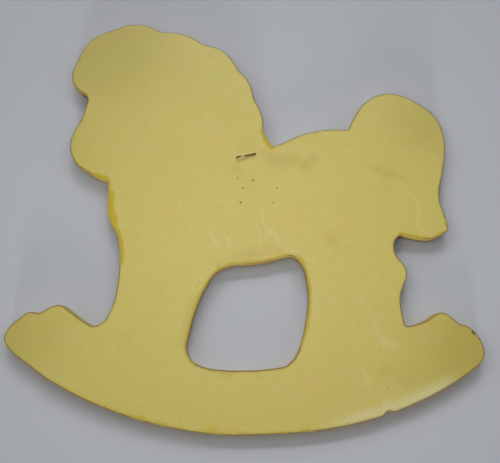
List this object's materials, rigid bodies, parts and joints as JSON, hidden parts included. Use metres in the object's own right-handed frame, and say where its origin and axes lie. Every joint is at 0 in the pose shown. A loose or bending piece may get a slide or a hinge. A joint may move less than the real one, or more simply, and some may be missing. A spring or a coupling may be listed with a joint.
{
  "type": "rocking horse wall plaque",
  "caption": "Flat wooden cut-out of a rocking horse with an open window between its legs and a wire staple in its back for hanging.",
  "frame": {"origin": "middle of the box around the board, at the level of its front face, on which it lies with its back up", "axes": "+X along the rocker from the horse's nose end to its tail end, +Y from the rocker up to the head, +Z out of the board's back face"},
  "size_m": [0.25, 0.2352, 0.0078],
  "materials": {
    "painted_board": "old cream paint under yellowed satin varnish, amber where it pooled near the edges, bare brown wood along the worn edges",
    "staple_wire": "dark rust with a worn coppery patch"
  },
  "bodies": {
    "root": {"board": "painted_board", "hanging_staple": "staple_wire"}
  },
  "joints": []
}
